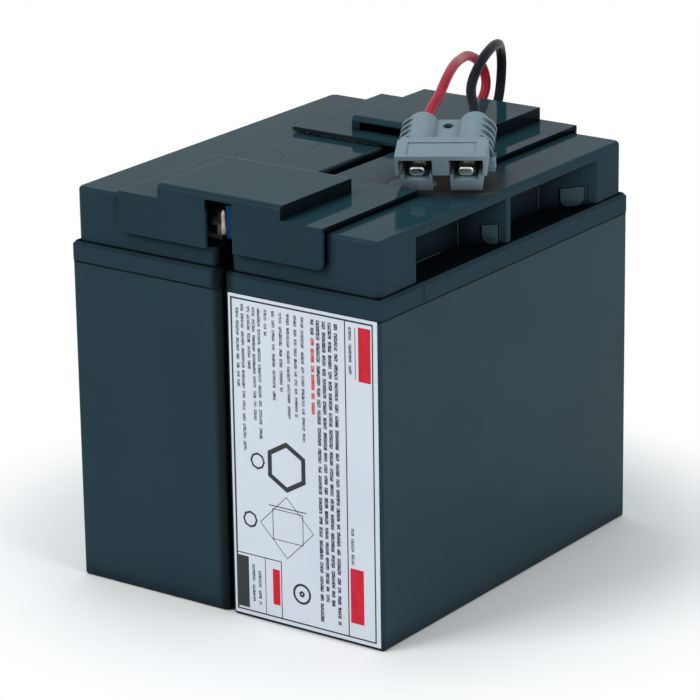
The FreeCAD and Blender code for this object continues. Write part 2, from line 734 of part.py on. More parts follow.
def make_rear_cover():
    body = new_body("rear_cover")
    sheet_face = new_sketch(body, "plate_face", "XY_Plane", cover_under)
    add_rectangle(sheet_face, "-cover_half_width", "cover_half_width", "rear_cover_start", cover_face)
    pad(body, "plate", sheet_face, "cover_sheet")
    flap = new_sketch(body, "flap_face", "XZ_Plane", f"-{cover_face}")
    add_rectangle(flap, "-cover_half_width", "cover_half_width", flap_bottom, cover_top)
    pad(body, "flap", flap, "cover_sheet")
    low = sizes["battery_height"] - sizes["flap_drop"]
    dress(body, "Fillet", "flap_corners", "flap_corner",
          lambda edge: is_level(edge, low) and edge.BoundBox.XLength < 0.01)
    raised = new_sketch(body, "box_face", "XY_Plane", cover_top)
    add_rectangle(raised, "-rear_box_left", "rear_box_right", "rear_box_start", "rear_box_end")
    pad(body, "raised_box", raised, "box_height")
    round_box(body, sizes["rear_box_start"])
    hollow = new_sketch(body, "hollow_face", "XY_Plane", cover_under)
    add_rectangle(hollow, "cover_sheet - rear_box_left", "rear_box_right - cover_sheet",
                  "rear_box_start + cover_sheet", "rear_box_end - cover_sheet")
    pocket(body, "hollow", hollow, "box_height", reverse=True)
    window = new_sketch(body, "window_face", "XZ_Plane", "-rear_box_start - 2 * cover_sheet")
    add_rectangle(window, "-rear_window_left", "rear_window_right",
                  cover_top, f"{cover_top} + rear_window_height")
    pocket(body, "window", window, "3 * cover_sheet", reverse=True)
    slot = new_sketch(body, "slot_face", "XZ_Plane", f"-{cover_face} - cover_sheet")
    add_rectangle(slot, "-lead_slot_half_width", "lead_slot_half_width", f"{flap_bottom} - cover_sheet",
                  window_top)
    pocket(body, "lead_slot", slot, f"{cover_face} - rear_box_end + 3 * cover_sheet", reverse=True)
    return body


def make_tapes():
    strips = []
    half = "(container_inset + pair_gap / 2)"
    for name, step in (("front", -1), ("middle", 0), ("rear", 1)):
        strips.append(box(f"{name}_pair_strip", f"-{half}", half,
                          f"{step} * pair_tape_pitch - pair_tape_width / 2",
                          f"{step} * pair_tape_pitch + pair_tape_width / 2",
                          "pair_tape_margin", f"{container_height} - pair_tape_margin"))
    pieces = []
    near, far = "cover_tape_inner", "cover_tape_inner + cover_tape_length"
    for side, left, right in (("left", f"-({far})", f"-{near}"), ("right", near, far)):
        for end, front, rear in (("front", "-front_cover_end - cover_tape_margin - cover_tape_width",
                                  "-front_cover_end - cover_tape_margin"),
                                 ("rear", "rear_cover_start + cover_tape_margin",
                                  "rear_cover_start + cover_tape_margin + cover_tape_width")):
            pieces.append(box(f"{side}_{end}_strip", left, right, front, rear,
                              "battery_height", cover_under))
    return [group("pair_tape", strips), group("cover_tape", pieces)]


def make_label():
    face = "(container_inset - battery_length / 2)"
    label = box("front_label", "label_left", "battery_width - label_right_margin",
                f"{face} - label_thickness", face, "label_bottom", f"{container_height} - label_top_margin")
    label.Label = "front_label"
    return label


def place_connector(item):
    spot = FreeCAD.Placement(
        vec(), FreeCAD.Rotation(sizes["connector_yaw"], sizes["connector_lean"], sizes["connector_tilt"]))
    item.Placement = spot
    for key, expression in at("connector_x", "connector_y", "battery_height + connector_rise").items():
        item.setExpression(key, cell(expression))
    return item


def make_connector_housing():
    """An open hood over two trays, then a cross block and two ridged shrouds joined by a web."""
    body = new_body("connector_housing")
    half = "housing_half_width"
    hood = new_sketch(body, "hood_face", "XZ_Plane")
    inner = f"({half} - hood_wall)"
    add_outline(hood, [(f"-{half}", "0"), (half, "0"), (half, "-hood_drop"), (inner, "-hood_drop"),
                       (inner, "-hood_plate"), ("middle_half_width", "-hood_plate"),
                       ("middle_half_width", "-middle_drop"), ("-middle_half_width", "-middle_drop"),
                       ("-middle_half_width", "-hood_plate"), (f"-{inner}", "-hood_plate"),
                       (f"-{inner}", "-hood_drop"), (f"-{half}", "-hood_drop")])
    pad(body, "hood", hood, "hood_length + hood_joint", reverse=True)
    wide = sizes["housing_half_width"]
    dress(body, "Fillet", "hood_edges", "hood_edge",
          lambda edge: edge.BoundBox.YLength > 1 and edge.BoundBox.ZMin > -0.01
          and abs(abs(edge.BoundBox.XMin) - wide) < 0.01)
    block = new_sketch(body, "block_face", "XZ_Plane", "-hood_length")
    add_rectangle(block, "-block_half_width", "block_half_width", "-housing_height", "-block_top")
    pad(body, "block", block, "block_length", reverse=True)
    tray = new_sketch(body, "tray_face", "XZ_Plane")
    low = "-housing_height"
    add_outline(tray, [("tray_near", low), ("tray_far", low), ("tray_far", "-tray_rim"),
                       ("tray_far - tray_wall", "-tray_rim"), ("tray_far - tray_wall", "-tray_floor"),
                       ("tray_near + tray_wall", "-tray_floor"), ("tray_near + tray_wall", "-tray_rim"),
                       ("tray_near", "-tray_rim")])
    add_outline(tray, [("-tray_near", low), ("-tray_near", "-tray_rim"),
                       ("-tray_near - tray_wall", "-tray_rim"), ("-tray_near - tray_wall", "-tray_floor"),
                       ("tray_wall - tray_far", "-tray_floor"), ("tray_wall - tray_far", "-tray_rim"),
                       ("-tray_far", "-tray_rim"), ("-tray_far", f"{low} + tray_cut_height"),
                       ("tray_cut_width - tray_far", low)])
    pad(body, "trays", tray, "hood_length + hood_joint", reverse=True)
    ear = new_sketch(body, "ear_face", "XY_Plane", "-ear_top")
    add_outline(ear, [("ear_root", "ear_start"), ("ear_reach", "ear_start"),
                      ("ear_reach - ear_notch", "(ear_start + ear_end) / 2"), ("ear_reach", "ear_end"),
                      ("ear_root", "ear_end")])
    pad(body, "ear", ear, "ear_height", reverse=True)
    level = "-channel_height"
    shroud = new_sketch(body, "shroud_face", "XZ_Plane", "-hood_length - 1")
    web = new_sketch(body, "web_face", "XZ_Plane", "-hood_length - 1")
    ridge = new_sketch(body, "ridge_face", "XZ_Plane", "-ridge_start")
    for sign in ("-", ""):
        add_circle(shroud, f"{sign}shroud_offset", level, "shroud_radius")
        add_circle(ridge, f"{sign}ridge_offset", "-ridge_level", "ridge_radius")
    pad(body, "shrouds", shroud, "housing_length - hood_length - 1", reverse=True)
    rear = sizes["housing_length"]
    dress(body, "Fillet", "shroud_rounds", "shroud_round",
          lambda edge: edge.BoundBox.YMin > rear - 0.01 and edge.BoundBox.YLength < 0.01)
    add_rectangle(web, "-web_half_width", "web_half_width", f"{level} - web_thickness / 2",
                  f"{level} + web_thickness / 2")
    pad(body, "web", web, "web_end - hood_length - 1", reverse=True)
    ring = pad(body, "ridge", ridge, "ridge_width", reverse=True)
    row(body, "ridges", ring, "Y_Axis", "ridge_pitch * (ridge_count - 1)", int(sizes["ridge_count"]))
    mouth = new_sketch(body, "mouth_face", "XZ_Plane", "-hood_length")
    bore = new_sketch(body, "bore_face", "XZ_Plane", "-hood_length")
    for sign in (-1, 1):
        add_rectangle(mouth, f"{sign} * channel_offset - mouth_width / 2",
                      f"{sign} * channel_offset + mouth_width / 2", "-tray_floor", "-mouth_top")
        add_circle(bore, f"{sign} * channel_offset", level, "shroud_bore")
    pocket(body, "mouths", mouth, "mouth_depth - hood_length")
    pocket(body, "wire_bores", bore, "housing_length")
    holes = new_sketch(body, "hole_face", "XY_Plane")
    add_circle(holes, "0", "web_hole_place", "web_hole_radius")
    add_circle(holes, "-pilot_hole_offset", "pilot_hole_place", "pilot_hole_radius")
    pocket(body, "screw_holes", holes, "housing_height")
    panel = new_sketch(body, "panel_face", "XY_Plane")
    add_rectangle(panel, "-panel_half_width", "panel_half_width", "panel_start", "panel_end")
    pocket(body, "panel", panel, "panel_depth")
    return place_connector(body)


def make_contacts():
    """Silvered tongues with rounded tips and crimped barrels, and the flat springs under them."""
    contacts = new_body("connector_contacts")
    level = "-channel_height"
    tip = new_sketch(contacts, "tip_face", "XZ_Plane", "-tip_start")
    tongue = new_sketch(contacts, "tongue_face", "XZ_Plane", "-tip_end")
    barrel = new_sketch(contacts, "crimp_face", "XZ_Plane", "crimp_overlap - mouth_depth")
    bore = new_sketch(contacts, "crimp_bore_face", "XZ_Plane", "-crimp_end")
    springs = new_body("contact_springs")
    leaf = new_sketch(springs, "leaf_face", "XZ_Plane", "-spring_start")
    for sign in (-1, 1):
        centre = f"{sign} * channel_offset"
        left = f"{centre} - tongue_width / 2"
        right = f"{centre} + tongue_width / 2"
        add_rectangle(tip, left, right, "-tip_top - tip_height", "-tip_top")
        add_rectangle(tongue, left, right, "-tongue_top - tongue_thickness", "-tongue_top")
        add_circle(barrel, centre, level, "crimp_radius")
        add_circle(bore, centre, level, "crimp_bore")
        add_rectangle(leaf, f"{centre} - spring_width / 2", f"{centre} + spring_width / 2",
                      "-tray_floor", "-tray_floor + spring_thickness")
    pad(contacts, "tips", tip, "tip_end - tip_start", reverse=True)
    dress(contacts, "Fillet", "tip_rounds", "tip_round", lambda edge: edge.BoundBox.YLength > 1)
    start = sizes["tip_start"]
    dress(contacts, "Fillet", "tip_edges", "tip_edge",
          lambda edge: edge.BoundBox.YMin < start + 0.01 and edge.BoundBox.YLength < 0.01)
    pad(contacts, "tongues", tongue, "mouth_depth - tip_end", reverse=True)
    pad(contacts, "crimps", barrel, "crimp_end - mouth_depth + crimp_overlap", reverse=True)
    pocket(contacts, "crimp_bores", bore, "(crimp_end - mouth_depth) * 2 / 3", reverse=True)
    pad(springs, "leaves", leaf, "spring_end - spring_start", reverse=True)
    return [place_connector(contacts), place_connector(springs)]


# Each lead: straight runs joined by arcs, from its lug's barrel to its contact's barrel.
# The first bend lies ahead of the lug's barrel, and the last behind the housing's bore.
# Each point's height is counted from the top of the batteries.
lead_routes = {
    "red_lead": [(-5.0, 106.2, 10.9), (-4.0, 103.5, 22.5), (1.7, 94.6, 29.4),
                 (8.6, 79.2, 29.8), (12.6, 59.6, 31.8), (17.8, 43.5, 28.1), (21.2, 32.0, 24.3)],
    "black_lead": [(3.4, 104.8, 7.3), (2.8, 106.6, 20.2), (5.4, 99.2, 31.6),
                   (12.0, 88.2, 37.0), (20.8, 72.2, 37.4), (24.6, 56.8, 34.6), (30.2, 41.4, 28.0)],
}
first_runs = {"red_lead": 16.2, "black_lead": 13.7}
last_run = 8
arc_share = 0.45


def lead_ends(label):
    """The barrel mouth of the lug and the one of the contact, with their directions."""
    sign = -1 if label == "red_lead" else 1
    tilt = math.radians(sizes["barrel_tilt"])
    reach = sizes["barrel_start"] + sizes["barrel_length"]
    centre = sizes["tab_near"] + sizes["pair_gap"] / 2 - sizes["barrel_radius"]
    bolt = vec(sign * centre, sizes["battery_length"] / 2 - sizes["terminal_inset"],
               sizes["battery_height"] - sizes["terminal_bay_depth"] + sizes["bolt_height"])
    outward = vec(0, math.cos(tilt), math.sin(tilt))
    start = bolt + outward * reach
    first_bend = start + outward * first_runs[label]
    rotation = FreeCAD.Rotation(sizes["connector_yaw"], sizes["connector_lean"], sizes["connector_tilt"])
    corner = vec(sizes["connector_x"], sizes["connector_y"],
                 sizes["battery_height"] + sizes["connector_rise"])
    channel = vec(sign * sizes["channel_offset"], 0, -sizes["channel_height"])
    finish = corner + rotation.multVec(channel + vec(0, sizes["crimp_end"], 0))
    last_bend = corner + rotation.multVec(channel + vec(0, sizes["housing_length"] + last_run, 0))
    return start, first_bend, last_bend, finish


def make_lead(label):
    start, first_bend, last_bend, finish = lead_ends(label)
    top = sizes["battery_height"]
    points = [start, first_bend]
    points += [vec(across, along, top + rise) for across, along, rise in lead_routes[label]]
    points += [last_bend, finish]
    edges, radii = [], []
    reached = points[0]
    for before, corner, after in zip(points, points[1:], points[2:]):
        into = (corner - before).normalize()
        out = (after - corner).normalize()
        turn = into.getAngle(out)
        cut = arc_share * min((corner - before).Length, (after - corner).Length)
        radius = cut / math.tan(turn / 2)
        radii.append(round(radius, 1))
        arc_start = corner - into * cut
        arc_end = corner + out * cut
        inward = (out - into).normalize()
        arc_middle = corner + inward * (radius / math.cos(turn / 2) - radius)
        edges.append(Part.LineSegment(reached, arc_start).toShape())
        edges.append(Part.Arc(arc_start, arc_middle, arc_end).toShape())
        reached = arc_end
    edges.append(Part.LineSegment(reached, points[-1]).toShape())
    path = Part.Wire(edges)
    direction = (points[1] - points[0]).normalize()
    ring = Part.Wire([Part.Circle(points[0], direction, sizes["lead_radius"]).toShape()])
    tube = path.makePipeShell([ring], True, False)
    expected = math.pi * sizes["lead_radius"] ** 2 * path.Length
    print(label, "length", round(path.Length, 1), "radii", radii,
          "volume share", round(tube.Volume / expected, 4))
    print("points", [tuple(round(value, 1) for value in point) for point in points])
    lead = doc.addObject("Part::Feature", label)
    lead.Shape = tube
    lead.Label = label
    return lead


parts = []
for side in ("left", "right"):
    parts += [make_container(side), make_lid(side), make_vent_discs(side), make_valve_caps(side),
              make_plate_stacks(side), make_cell_straps(side),
              make_terminal(side, "positive", -1), make_terminal(side, "negative", 1)]
parts += make_fuse()
parts += make_fasteners("front", f"-{bolt_place}", f"{fuse_half} + pair_gap / 2 - head_thickness")
parts += make_fasteners("rear", bolt_place,
                        "tab_near + pair_gap / 2 - lug_thickness - head_thickness")
parts += [make_lug("red_lug", -1), make_lug("black_lug", 1)]
parts += [make_front_cover(), make_rear_cover()]
parts += make_tapes()
parts += [make_label(), make_connector_housing()]
parts += make_contacts()
parts += [make_lead("red_lead"), make_lead("black_lead")]
doc.recompute()

failed = [item.Name for item in doc.Objects if "Invalid" in item.State or "Error" in item.State]
if failed:
    raise RuntimeError(f"objects failed to build: {failed}")
os.makedirs("parts", exist_ok=True)
for item in parts:
    if item.Shape.isNull() or not item.Shape.isValid():
        raise RuntimeError(f"{item.Label} has no valid shape")
    item.Shape.exportStep(f"parts/{item.Label}.step")
print("pieces written:", len(parts))
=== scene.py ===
import bpy
import json
import math
import random
from mathutils import Euler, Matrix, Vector


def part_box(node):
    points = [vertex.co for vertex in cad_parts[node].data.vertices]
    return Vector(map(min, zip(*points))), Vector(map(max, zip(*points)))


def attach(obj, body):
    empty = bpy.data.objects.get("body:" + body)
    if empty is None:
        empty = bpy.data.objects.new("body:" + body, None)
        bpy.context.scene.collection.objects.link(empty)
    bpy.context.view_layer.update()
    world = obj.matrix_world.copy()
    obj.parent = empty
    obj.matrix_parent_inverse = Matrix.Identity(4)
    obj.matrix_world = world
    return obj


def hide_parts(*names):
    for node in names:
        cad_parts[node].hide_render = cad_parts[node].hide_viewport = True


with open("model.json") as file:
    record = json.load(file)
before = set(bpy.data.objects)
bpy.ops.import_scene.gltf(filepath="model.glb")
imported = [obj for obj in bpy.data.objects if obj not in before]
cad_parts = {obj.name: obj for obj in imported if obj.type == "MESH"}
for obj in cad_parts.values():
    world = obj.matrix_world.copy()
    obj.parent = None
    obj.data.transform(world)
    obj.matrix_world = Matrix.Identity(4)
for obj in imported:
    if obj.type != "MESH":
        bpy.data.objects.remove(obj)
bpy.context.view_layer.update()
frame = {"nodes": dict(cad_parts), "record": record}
nodes = frame["nodes"]
mm = 0.001  # the scene is in metres
print("frame loaded, nodes:", len(nodes))

# camera and studio, in metres
cameraSet = {
    "place": (0.83724, -1.17007, 0.56408),
    "turn": (71.6317, 0.8159, 35.4225),  # degrees
    "lens": 187.73,
    "sensor": 36,
    "sees": (0.05, 30),
}
studio = {
    "ambient": 0.36,
    "sky": (0.95, 0.98, 1.0),
    "floorSize": 14,
    "floorColour": (0.93, 0.93, 0.93),
    "whiteFrom": 0.12,  # the floor turns into plain white between these distances
    "whiteAt": 0.20,
    # name: place, aimed at, size, watts, colour
    "lamps": {
        "keyLamp": ((-0.75, -1.35, 1.15), (0, 0, 0.09), 0.9, 19.5, (1.0, 1.0, 1.0)),
        "sideLamp": ((1.65, -0.15, 0.85), (0, 0, 0.08), 0.9, 14.0, (1.0, 1.0, 1.0)),
        "topLamp": ((-0.25, 0.35, 1.75), (0, 0, 0.1), 1.0, 8.0, (0.74, 0.93, 1.0)),
    },
}
white = (1.0, 1.0, 1.0)


def deselectAll():
    if bpy.context.object and bpy.context.object.mode != "OBJECT":
        bpy.ops.object.mode_set(mode="OBJECT")
    bpy.ops.object.select_all(action="DESELECT")


def pickOnly(piece):
    deselectAll()
    piece.select_set(True)
    bpy.context.view_layer.objects.active = piece


def intoScene(piece):
    bpy.context.scene.collection.objects.link(piece)
    return piece


def colour4(colour):
    return (*colour, 1.0)


def emptyMaterial(name):
    material = bpy.data.materials.new(name)
    material.use_nodes = True
    material.node_tree.nodes.clear()
    return material, material.node_tree


def addNode(tree, kind, inputs=None, **settings):
    # an input is a value, or another node's output
    node = tree.nodes.new("ShaderNode" + kind)
    for key, value in settings.items():
        setattr(node, key, value)
    for key, value in (inputs or {}).items():
        if isinstance(value, bpy.types.NodeSocket):
            tree.links.new(value, node.inputs[key])
        else:
            node.inputs[key].default_value = value
    return node


def calculated(tree, operation, first, second=0.0):
    return addNode(tree, "Math", {0: first, 1: second}, operation=operation).outputs[0]


def spread(tree, value, fromMin=0.0, fromMax=1.0, toMin=0.0, toMax=1.0, ease="LINEAR"):
    return addNode(tree, "MapRange", {
        "Value": value, "From Min": fromMin, "From Max": fromMax, "To Min": toMin, "To Max": toMax,
    }, interpolation_type=ease).outputs[0]


def mixShaders(tree, amount, first, second):
    return addNode(tree, "MixShader", {
        0: amount, 1: first.outputs[0], 2: second.outputs[0]}).outputs[0]


def makeCamera():
    bpy.context.scene.view_settings.view_transform = "Standard"
    data = bpy.data.cameras.new("studioCamera")
    data.lens = cameraSet["lens"]
    data.sensor_width = cameraSet["sensor"]
    data.clip_start, data.clip_end = cameraSet["sees"]
    camera = intoScene(bpy.data.objects.new("studioCamera", data))
    camera.location = cameraSet["place"]
    camera.rotation_euler = Euler([math.radians(v) for v in cameraSet["turn"]])
    bpy.context.scene.camera = camera


def seenRays(tree):
    # 1 for rays from the camera, off gloss or through something clear
    path = addNode(tree, "LightPath").outputs
    seen = calculated(tree, "MAXIMUM", path["Is Camera Ray"], path["Is Glossy Ray"])
    return calculated(tree, "MAXIMUM", seen, path["Is Transmission Ray"])


def makeWorld():
    world = bpy.data.worlds.new("studioWorld")
    bpy.context.scene.world = world
    world.use_nodes = True
    tree = world.node_tree
    tree.nodes.clear()
    soft = addNode(tree, "Background", {
        "Color": colour4(studio["sky"]), "Strength": studio["ambient"]})
    plain = addNode(tree, "Background", {"Color": colour4(white), "Strength": 1.0})
    addNode(tree, "OutputWorld", {"Surface": mixShaders(tree, seenRays(tree), soft, plain)})


def makeFloor():
    deselectAll()
    bpy.ops.mesh.primitive_plane_add(size=studio["floorSize"], location=(0, 0, 0))
    floor = bpy.context.object
    floor.name = "studioFloor"
    material, tree = emptyMaterial("studioFloor")
    coords = addNode(tree, "TexCoord").outputs["Object"]
    distance = addNode(tree, "VectorMath", {0: coords}, operation="LENGTH").outputs["Value"]
    fade = spread(tree, distance, studio["whiteFrom"], studio["whiteAt"], ease="SMOOTHSTEP")
    amount = calculated(tree, "MULTIPLY", fade, seenRays(tree))
    matt = addNode(tree, "BsdfDiffuse", {"Color": colour4(studio["floorColour"])})
    plain = addNode(tree, "Emission", {"Color": colour4(white), "Strength": 1.0})
    addNode(tree, "OutputMaterial", {"Surface": mixShaders(tree, amount, matt, plain)})
    floor.data.materials.append(material)


def makeLamps():
    for name, (place, aim, size, watts, colour) in studio["lamps"].items():
        data = bpy.data.lights.new(name, "AREA")
        data.shape = "SQUARE"
        data.size = size
        data.energy = watts
        data.color = colour
        lamp = intoScene(bpy.data.objects.new(name, data))
        lamp.location = place
        lamp.rotation_euler = (Vector(aim) - Vector(place)).to_track_quat("-Z", "Y").to_euler()


makeCamera()
makeWorld()
makeFloor()
makeLamps()
print("camera, floor and lamps ready")

# noise patterns: detail, roughness, and the part of the noise that becomes 0 to 1
patterns = {
    "clouds": (4, 0.5, 0.35, 0.65),
    "wearAndHighlight": (3, 0.6, 0.30, 0.70),
    "smudges": (5, 0.6, 0.30, 0.70),
    "grain": (2, 0.5, 0.20, 0.80),
    "waves": (2, 0.4, 0.20, 0.80),
    "tarnish": (5, 0.62, 0.35, 0.75),
    "streaks": (3, 0.6, 0.25, 0.75),
}
# what every moulded finish has unless it says otherwise, in metres
moulded = {
    "tint": white, "cloudScale": 30, "edgeRadius": 0.0004, "wearAndHighlight": 0.5, "wearAndHighlightScale": 240,
    "smudgeScale": 45, "grainScale": 1900, "waveScale": 22, "waveDepth": 0.0001,
    "hollowRange": (0.25, 0.95), "hollowSamples": 8, "markRough": 0.7,
    "levelFacing": (0.80, 0.98), "sideFacing": (0.45, 0.85),
}
# worn edges, lightened also as painted highlights, lie where the dot product of the flat and the
# rounded normal falls
edges = {"samples": 4, "from": 0.98, "to": 0.70}


def noise(tree, vector, scale, pattern):
    detail, roughness, low, high = pattern
    source = addNode(tree, "TexNoise", {
        "Vector": vector, "Scale": scale, "Detail": detail, "Roughness": roughness})
    return spread(tree, source.outputs[0], low, high)


def bump(tree, height, depth, normal):
    return addNode(tree, "Bump", {
        "Strength": 1.0, "Distance": depth, "Height": height, "Normal": normal}).outputs[0]


def mixColours(tree, amount, first, second):
    mix = addNode(tree, "Mix", data_type="RGBA", clamp_factor=True)
    for index, value in ((0, amount), (6, first), (7, second)):
        if isinstance(value, bpy.types.NodeSocket):
            tree.links.new(value, mix.inputs[index])
        else:
            mix.inputs[index].default_value = colour4(value)
    return mix.outputs[2]


def newShader(tree, values):
    shader = addNode(tree, "BsdfPrincipled", values)
    addNode(tree, "OutputMaterial", {"Surface": shader.outputs[0]})
    return shader


def edgeMask(tree, radius):
    # rounds the edges in the shading, and gives where they are
    rounded = addNode(tree, "Bevel", {"Radius": radius}, samples=edges["samples"]).outputs[0]
    flat = addNode(tree, "NewGeometry").outputs["Normal"]
    turn = addNode(tree, "VectorMath", {0: rounded, 1: flat}, operation="DOT_PRODUCT")
    return rounded, spread(tree, turn.outputs["Value"], edges["from"], edges["to"])


def axesOf(tree, vector):
    return addNode(tree, "SeparateXYZ", {0: vector}).outputs


def facingOf(tree):
    return axesOf(tree, addNode(tree, "NewGeometry").outputs["Normal"])


def levelTops(tree, look):
    return spread(tree, facingOf(tree)[2], *look["levelFacing"])


def sidesAbove(tree, coords, look):
    # painted shade on upright faces to the left and right, above a level: they take the dark of the
    # lids they mirror
    across = calculated(tree, "ABSOLUTE", facingOf(tree)[0])
    side = spread(tree, across, *look["sideFacing"])
    above = calculated(tree, "GREATER_THAN", axesOf(tree, coords)[2], look["shadeAbove"])
    return calculated(tree, "MULTIPLY", side, above)


def bandAtJoint(tree, coords, look):
    # painted shade in the band by the joint between the two batteries, below a level
    near, far, level = look["jointShade"]
    place = axesOf(tree, coords)
    across = calculated(tree, "ABSOLUTE", place[0])
    band = spread(tree, across, far, near, ease="SMOOTHSTEP")
    below = calculated(tree, "LESS_THAN", place[2], level)
    return calculated(tree, "MULTIPLY", band, below)


def paintedMarks(tree, coords, marks):
    # 1 inside any of the boxes, each a middle and half its size
    shown = 0.0
    for middle, half in marks:
        moved = addNode(tree, "VectorMath", {0: coords, 1: middle}, operation="SUBTRACT")
        folded = addNode(tree, "VectorMath", {0: moved.outputs[0]}, operation="ABSOLUTE")
        past = addNode(tree, "VectorMath", {0: folded.outputs[0], 1: half}, operation="SUBTRACT")
        axes = axesOf(tree, past.outputs[0])
        larger = calculated(tree, "MAXIMUM", axes[0], axes[1])
        largest = calculated(tree, "MAXIMUM", larger, axes[2])
        inside = calculated(tree, "LESS_THAN", largest, 0.0)
        shown = calculated(tree, "MAXIMUM", inside, shown)
    return shown


def mouldedFinish(name, own):
    # plastic and rubber: clouded colour, fine grain, worn edges with painted highlights, painted
    # shade in its hollows
    look = {**moulded, **own}
    material, tree = emptyMaterial(name)
    coords = addNode(tree, "TexCoord").outputs["Object"]
    shader = newShader(tree, {"Specular IOR Level": look["specular"],
                              "Specular Tint": colour4(look["tint"])})
    clouds = noise(tree, coords, look["cloudScale"], patterns["clouds"])
    colour = mixColours(tree, clouds, look["colour"], look["lighter"])
    smudges = noise(tree, coords, look["smudgeScale"], patterns["smudges"])
    rough = spread(tree, smudges, toMin=look["roughness"][0], toMax=look["roughness"][1])
    # painted light: level tops take a bluer colour of their own that stands in for the reflection
    # and shade on them
    if "paintedTopLight" in look:
        colour = mixColours(tree, levelTops(tree, look), colour, look["paintedTopLight"])
    if "shadeAbove" in look:
        colour = mixColours(tree, sidesAbove(tree, coords, look), colour, look["shade"])
    if "jointShade" in look:
        colour = mixColours(tree, bandAtJoint(tree, coords, look), colour, look["shade"])
    # marks: real marks, and painted shade lines where shade falls at ledges and joints
    if "marks" in look:
        marksAndShade = paintedMarks(tree, coords, look["marks"])
        colour = mixColours(tree, marksAndShade, colour, look["markAndShadeColour"])
    # painted shade: in hollows and creases, where shade falls, the colour darkens towards the
    # hollow shade colour
    if "hollow" in look:
        hollow = addNode(tree, "AmbientOcclusion", {"Distance": look["hollow"]},
                         samples=look["hollowSamples"])
        depth = spread(tree, hollow.outputs["AO"], *look["hollowRange"])
        colour = mixColours(tree, depth, look["deep"], colour)
    if "hollowRough" in look:
        rough = spread(tree, depth, toMin=look["hollowRough"], toMax=rough)
    if "marks" in look:
        rough = spread(tree, marksAndShade, toMin=rough, toMax=look["markRough"])
    rounded, mask = edgeMask(tree, look["edgeRadius"])
    # worn edges, lighter also as painted highlights where light would catch them
    spots = noise(tree, coords, look["wearAndHighlightScale"], patterns["wearAndHighlight"])
    wearAndHighlight = calculated(tree, "MULTIPLY", calculated(tree, "MULTIPLY", mask, spots), look["wearAndHighlight"])
    colour = mixColours(tree, wearAndHighlight, colour, look["edge"])
    waves = noise(tree, coords, look["waveScale"], patterns["waves"])
    grain = noise(tree, coords, look["grainScale"], patterns["grain"])
    normal = bump(tree, waves, look["waveDepth"], rounded)
    normal = bump(tree, grain, look["grainDepth"], normal)
    tree.links.new(colour, shader.inputs["Base Color"])
    tree.links.new(rough, shader.inputs["Roughness"])
    tree.links.new(normal, shader.inputs["Normal"])
    return material


metal = {"tarnishScale": 160, "edgeRadius": 0.0002, "streakDepth": 0.000012}


def metalFinish(name, own):
    # plated or drawn metal: streaks along one direction, tarnish and bright edges
    look = {**metal, **own}
    material, tree = emptyMaterial(name)
    coords = addNode(tree, "TexCoord").outputs["Object"]
    shader = newShader(tree, {"Metallic": 1.0})
    tarnish = noise(tree, coords, look["tarnishScale"], patterns["tarnish"])
    colour = mixColours(tree, tarnish, look["colour"], look["tarnish"])
    rounded, mask = edgeMask(tree, look["edgeRadius"])
    colour = mixColours(tree, mask, colour, look["edge"])
    drawn = addNode(tree, "Mapping", {"Vector": coords, "Scale": look["streaks"]}).outputs[0]
    streaks = noise(tree, drawn, 1.0, patterns["streaks"])
    rough = spread(tree, streaks, toMin=look["roughness"][0], toMax=look["roughness"][1])
    tree.links.new(colour, shader.inputs["Base Color"])
    tree.links.new(rough, shader.inputs["Roughness"])
    tree.links.new(bump(tree, streaks, look["streakDepth"], rounded), shader.inputs["Normal"])
    return material


ink = {"specular": 0.10, "roughness": (0.28, 0.42), "smudgeScale": 60, "spots": (2, 0.5)}


def inkFinish(name, look):
    # printed film: the ink's cover changes over small spots
    material, tree = emptyMaterial(name)
    coords = addNode(tree, "TexCoord").outputs["Object"]
    shader = newShader(tree, {"Specular IOR Level": ink["specular"]})
    spots = noise(tree, coords, look["scale"], (*ink["spots"], *look["share"]))
    smudges = noise(tree, coords, ink["smudgeScale"], patterns["clouds"])
    rough = spread(tree, smudges, toMin=ink["roughness"][0], toMax=ink["roughness"][1])
    colour = mixColours(tree, spots, look["ink"], look["ground"])
    tree.links.new(colour, shader.inputs["Base Color"])
    tree.links.new(rough, shader.inputs["Roughness"])
    return material


finishes = {}
# the dark plastic of the batteries and their covers
dark = {
    "lighter": (0.019, 0.039, 0.053), "edge": (0.06, 0.10, 0.12), "deep": (0.001, 0.002, 0.003),
    "paintedTopLight": (0.014, 0.043, 0.056), "shade": (0.005, 0.010, 0.013),
    "markAndShadeColour": (0.002, 0.004, 0.006), "specular": 0.015, "tint": (0.7, 0.92, 1.0),
    "waveDepth": 0.00003,
}
finishes["case_plastic"] = mouldedFinish("casePlastic", {
    **dark, "colour": (0.0125, 0.033, 0.045), "lighter": (0.0145, 0.036, 0.048),
    "specular": 0.105, "tint": (0.7, 0.9, 1.0), "roughness": (0.29, 0.35), "hollow": 0.010,
    "grainScale": 2400, "grainDepth": 0.000006, "wearAndHighlight": 0.35,
    # the shadow line where the lid's flange meets the container
    "marks": [((0, 0, 0.1360), (0.1, 0.1, 0.00055))],
    "jointShade": (0.0028, 0.0062, 0.2),
})
